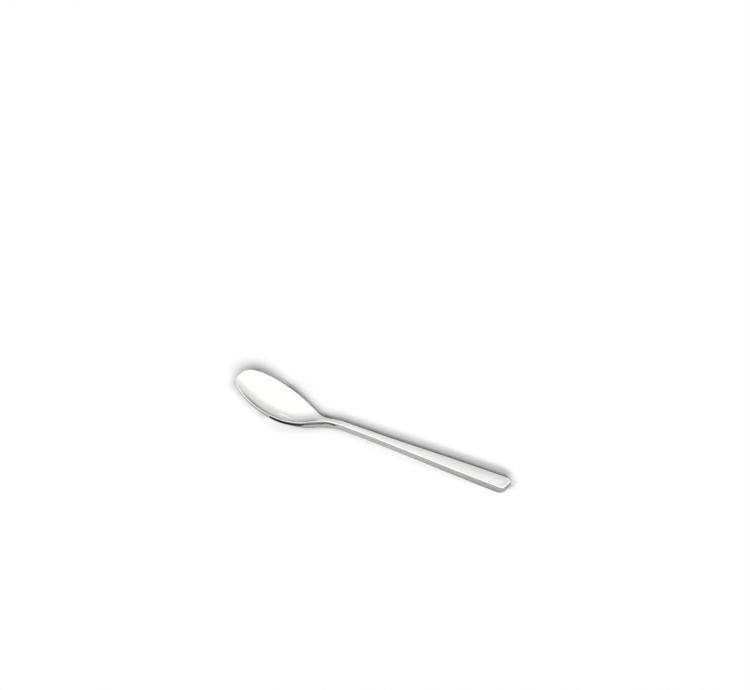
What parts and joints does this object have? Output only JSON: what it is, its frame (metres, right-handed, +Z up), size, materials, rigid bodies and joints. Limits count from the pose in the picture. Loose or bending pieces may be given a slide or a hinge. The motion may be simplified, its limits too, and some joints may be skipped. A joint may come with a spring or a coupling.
{
  "type": "coffee spoon",
  "caption": "One-piece polished steel coffee spoon with an egg-shaped bowl, a slim neck and a flat handle that widens to a square end.",
  "frame": {"origin": "on the surface that the spoon lies on, under the middle of its length and on its centre line", "axes": "+X from the tip of the bowl to the end of the handle, +Z up out of the bowl as the spoon lies, Y across"},
  "size_m": [0.115, 0.02, 0.0141],
  "materials": {
    "polished_steel": "mirror-polished stainless steel, unplated"
  },
  "bodies": {
    "root": {"spoon": "polished_steel"}
  },
  "joints": []
}
